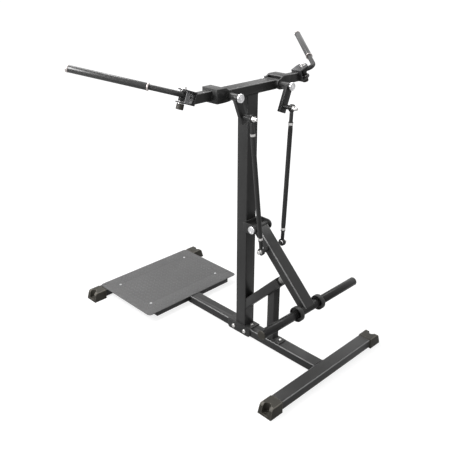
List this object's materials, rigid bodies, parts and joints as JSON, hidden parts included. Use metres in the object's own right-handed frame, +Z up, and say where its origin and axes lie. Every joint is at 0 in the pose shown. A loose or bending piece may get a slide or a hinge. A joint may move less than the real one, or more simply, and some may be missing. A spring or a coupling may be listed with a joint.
{
  "type": "standing chest fly machine",
  "caption": "Plate-loaded standing chest fly machine: a standing platform, an upright with swing arms and swivelling grips, and a weight lever raised by link rods.",
  "frame": {"origin": "on the floor at the middle of the base", "axes": "+Z up; +Y from the standing platform towards the weight lever, the way the user faces; +X to the user's right; X = 0 is the machine's middle plane"},
  "size_m": [1.64, 1.61, 1.627],
  "materials": {
    "black_coat": "fine textured black powder coat, semi matt",
    "clevis_coat": "dark grey powder coat, satin",
    "platform_coat": "coarse grey anti-slip powder coat",
    "zinc": "bright zinc plate",
    "chrome": "polished",
    "axle_steel": "ground steel",
    "olive_plastic": "moulded dark olive grey plastic, satin",
    "grip_rubber": "smooth dark grey rubber",
    "bumper_rubber": "light grey rubber"
  },
  "bodies": {
    "frame": {"front_cross_tube": "black_coat", "rear_cross_tube": "black_coat", "front_feet": "olive_plastic", "rear_feet": "olive_plastic", "front_rail": "black_coat", "rear_rail": "black_coat", "platform_plate": "platform_coat", "rear_bearers": "black_coat", "side_bearers": "black_coat", "platform_screws": "zinc", "base_saddle": "black_coat", "saddle_bolts": "zinc", "upright": "black_coat", "crossbar": "black_coat", "pivot_housings": "black_coat", "stop_strut": "black_coat", "strut_post": "black_coat", "post_bolts": "zinc", "stop_bumper": "bumper_rubber", "lever_bracket": "black_coat", "lever_axle": "chrome"},
    "lever": {"lever_pivot_tube": "black_coat", "lever_arm": "black_coat", "weight_horns": "black_coat", "horn_collars": "black_coat", "horn_caps": "olive_plastic", "link_pins": "zinc"},
    "right_link_ball": {"right_lower_ball": "zinc"},
    "right_link": {"right_link_rod": "black_coat", "right_rod_ends": "black_coat", "right_jam_nuts": "zinc", "right_upper_joint": "zinc"},
    "right_arm": {"right_hub": "black_coat", "right_arm_tube": "black_coat", "right_axle": "axle_steel", "right_axle_caps": "chrome", "right_crank": "black_coat", "right_clevis": "clevis_coat", "right_clevis_bolts": "zinc"},
    "right_handle": {"right_handle_tube": "black_coat", "right_grip": "grip_rubber", "right_grip_trim": "chrome"},
    "right_clamp_knob": {"right_knob": "olive_plastic"},
    "left_link_ball": {"left_lower_ball": "zinc"},
    "left_link": {"left_link_rod": "black_coat", "left_rod_ends": "black_coat", "left_jam_nuts": "zinc", "left_upper_joint": "zinc"},
    "left_arm": {"left_hub": "black_coat", "left_arm_tube": "black_coat", "left_axle": "axle_steel", "left_axle_caps": "chrome", "left_crank": "black_coat", "left_clevis": "clevis_coat", "left_clevis_bolts": "zinc"},
    "left_handle": {"left_handle_tube": "black_coat", "left_grip": "grip_rubber", "left_grip_trim": "chrome"},
    "left_clamp_knob": {"left_knob": "olive_plastic"}
  },
  "joints": [
    {"name": "lever_hinge", "type": "hinge", "parent": "frame", "child": "lever", "pos_m": [0, 0.275, 0.7185], "axis": [1, 0, 0], "range_deg": [0, 41.3]},
    {"name": "right_link_swing", "type": "hinge", "parent": "lever", "child": "right_link_ball", "pos_m": [0.084, 0.3648, 0.6287], "axis": [-1, 0, 0], "range_deg": [0, 38.5]},
    {"name": "right_link_lean", "type": "hinge", "parent": "right_link_ball", "child": "right_link", "pos_m": [0.084, 0.3648, 0.6287], "axis": [0, -1, 0], "range_deg": [0, 5.2]},
    {"name": "right_arm_swing", "type": "hinge", "parent": "frame", "child": "right_arm", "pos_m": [0.187, 0.171, 1.453], "axis": [0, 1, 0], "range_deg": [0, 60]},
    {"name": "right_handle_swing", "type": "hinge", "parent": "right_arm", "child": "right_handle", "pos_m": [0.435, 0.171, 1.483], "axis": [-0.342, 0, 0.9397], "range_deg": [-80, 20]},
    {"name": "right_knob_turn", "type": "hinge", "parent": "right_arm", "child": "right_clamp_knob", "pos_m": [0.4519, 0.171, 1.43658], "axis": [-0.342, 0, 0.9397], "continuous": true},
    {"name": "left_link_swing", "type": "hinge", "parent": "lever", "child": "left_link_ball", "pos_m": [-0.084, 0.3648, 0.6287], "axis": [-1, 0, 0], "range_deg": [0, 38.5]},
    {"name": "left_link_lean", "type": "hinge", "parent": "left_link_ball", "child": "left_link", "pos_m": [-0.084, 0.3648, 0.6287], "axis": [0, 1, 0], "range_deg": [0, 5.2]},
    {"name": "left_arm_swing", "type": "hinge", "parent": "frame", "child": "left_arm", "pos_m": [-0.187, 0.171, 1.453], "axis": [0, -1, 0], "range_deg": [0, 60]},
    {"name": "left_handle_swing", "type": "hinge", "parent": "left_arm", "child": "left_handle", "pos_m": [-0.435, 0.171, 1.483], "axis": [-0.342, 0, -0.9397], "range_deg": [-80, 20]},
    {"name": "left_knob_turn", "type": "hinge", "parent": "left_arm", "child": "left_clamp_knob", "pos_m": [-0.4519, 0.171, 1.43658], "axis": [0.342, 0, 0.9397], "continuous": true}
  ],
  "couplings": [
    {"joint": "right_link_swing", "follows": "lever_hinge", "ratio": 0.92974},
    {"joint": "right_link_lean", "follows": "lever_hinge", "ratio": 0.12404},
    {"joint": "right_arm_swing", "follows": "lever_hinge", "ratio": 1.4511},
    {"joint": "left_link_swing", "follows": "lever_hinge", "ratio": 0.92974},
    {"joint": "left_link_lean", "follows": "lever_hinge", "ratio": 0.12404},
    {"joint": "left_arm_swing", "follows": "lever_hinge", "ratio": 1.4511}
  ]
}
